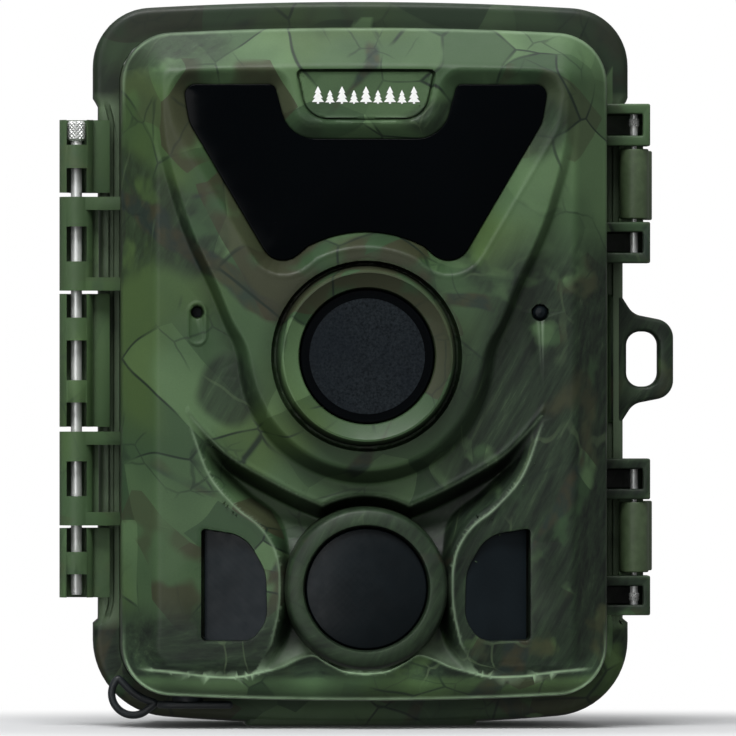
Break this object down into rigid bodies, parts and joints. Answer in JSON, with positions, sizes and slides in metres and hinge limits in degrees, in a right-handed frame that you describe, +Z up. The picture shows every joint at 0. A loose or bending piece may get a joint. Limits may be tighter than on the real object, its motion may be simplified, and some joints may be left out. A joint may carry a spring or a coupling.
{
  "type": "trail camera",
  "caption": "Upright camouflage trail camera: hinged front cover with latches, infrared window, lens and motion sensors over a battery case.",
  "frame": {"origin": "on the flat foot under the case, in the plane of the lens axis", "axes": "+Z up, -Y the way the lens looks, +X towards the latches"},
  "size_m": [0.1164, 0.078, 0.137],
  "materials": {
    "camo_plastic": "satin moulded ABS with a printed woodland camouflage",
    "camo_latch": "satin moulded olive plastic",
    "black_plastic": "fine-grained black",
    "contact_strip": "black fibre board with plated contacts",
    "dark_window": "polished infrared-pass black",
    "lens_film": "dark grey with a soft sheen",
    "clear_window": "polished",
    "steel": "bright",
    "brass": "turned",
    "rubber": "soft black",
    "silicone": "grey silicone",
    "circuit_board": "green solder mask",
    "cell_can": "printed sleeve over a can"
  },
  "bodies": {
    "rear_body": {"rear_housing": "camo_plastic", "gasket": "silicone", "hinge_pin": "steel", "tripod_insert": "brass", "battery_tray": "black_plastic", "battery_1": "cell_can", "battery_2": "cell_can", "battery_3": "cell_can", "battery_4": "cell_can", "battery_5": "cell_can", "battery_6": "cell_can", "battery_7": "cell_can", "battery_8": "cell_can", "contact_board_1": "contact_strip", "contact_board_2": "contact_strip", "contact_board_3": "contact_strip", "contact_board_4": "contact_strip"},
    "cover": {"front_cover": "camo_plastic", "ir_window": "dark_window", "led_board": "circuit_board", "lens_window": "clear_window", "lens_bezel": "black_plastic", "lens_barrel": "black_plastic", "lens_holder": "black_plastic", "sensor_board": "circuit_board", "pir_lens_center": "lens_film", "pir_lens_left": "lens_film", "pir_lens_right": "lens_film", "pir_sensor_center": "steel", "pir_sensor_left": "steel", "pir_sensor_right": "steel", "pir_board": "circuit_board", "microphone": "steel", "light_sensor": "lens_film", "dc_jack": "black_plastic", "inner_panel": "black_plastic", "main_board": "circuit_board", "lcd_module": "black_plastic", "display_window": "clear_window", "card_socket": "steel", "usb_socket": "steel", "panel_screw_1": "steel", "panel_screw_2": "steel", "panel_screw_3": "steel", "panel_screw_4": "steel", "latch_pin_upper": "steel", "latch_pin_lower": "steel"},
    "filter_slide": {"ir_cut_filter": "dark_window"},
    "switch_slider": {"mode_switch": "black_plastic"},
    "card": {"memory_card": "black_plastic"},
    "flap": {"port_flap": "rubber"},
    "upper_latch": {"latch_lever_upper": "camo_latch"},
    "lower_latch": {"latch_lever_lower": "camo_latch"},
    "key_ok_body": {"key_ok": "rubber"},
    "key_up_body": {"key_up": "rubber"},
    "key_down_body": {"key_down": "rubber"},
    "key_left_body": {"key_left": "rubber"},
    "key_right_body": {"key_right": "rubber"},
    "key_menu_body": {"key_menu": "rubber"}
  },
  "joints": [
    {"name": "cover_hinge", "type": "hinge", "parent": "rear_body", "child": "cover", "pos_m": [-0.0539, -0.0095, 0.0694], "axis": [0, 0, -1], "range_deg": [0, 170]},
    {"name": "upper_latch_pivot", "type": "hinge", "parent": "cover", "child": "upper_latch", "pos_m": [0.0515, -0.01, 0.1025], "axis": [0, 0, -1], "range_deg": [0, 120]},
    {"name": "lower_latch_pivot", "type": "hinge", "parent": "cover", "child": "lower_latch", "pos_m": [0.0515, -0.01, 0.03575], "axis": [0, 0, -1], "range_deg": [0, 120]},
    {"name": "flap_hinge", "type": "hinge", "parent": "cover", "child": "flap", "pos_m": [-0.0248, -0.0145, 0.0042], "axis": [0, -1, 0], "range_deg": [0, 95]},
    {"name": "filter_travel", "type": "slide", "parent": "cover", "child": "filter_slide", "axis": [1, 0, 0], "range_m": [0, 0.01]},
    {"name": "mode_switch_travel", "type": "slide", "parent": "cover", "child": "switch_slider", "axis": [1, 0, 0], "range_m": [0, 0.008]},
    {"name": "card_travel", "type": "slide", "parent": "cover", "child": "card", "axis": [0, 0, -1], "range_m": [0, 0.0145]},
    {"name": "key_ok_press", "type": "slide", "parent": "cover", "child": "key_ok_body", "axis": [0, -1, 0], "range_m": [0, 0.0006]},
    {"name": "key_up_press", "type": "slide", "parent": "cover", "child": "key_up_body", "axis": [0, -1, 0], "range_m": [0, 0.0006]},
    {"name": "key_down_press", "type": "slide", "parent": "cover", "child": "key_down_body", "axis": [0, -1, 0], "range_m": [0, 0.0006]},
    {"name": "key_left_press", "type": "slide", "parent": "cover", "child": "key_left_body", "axis": [0, -1, 0], "range_m": [0, 0.0006]},
    {"name": "key_right_press", "type": "slide", "parent": "cover", "child": "key_right_body", "axis": [0, -1, 0], "range_m": [0, 0.0006]},
    {"name": "key_menu_press", "type": "slide", "parent": "cover", "child": "key_menu_body", "axis": [0, -1, 0], "range_m": [0, 0.0006]}
  ]
}
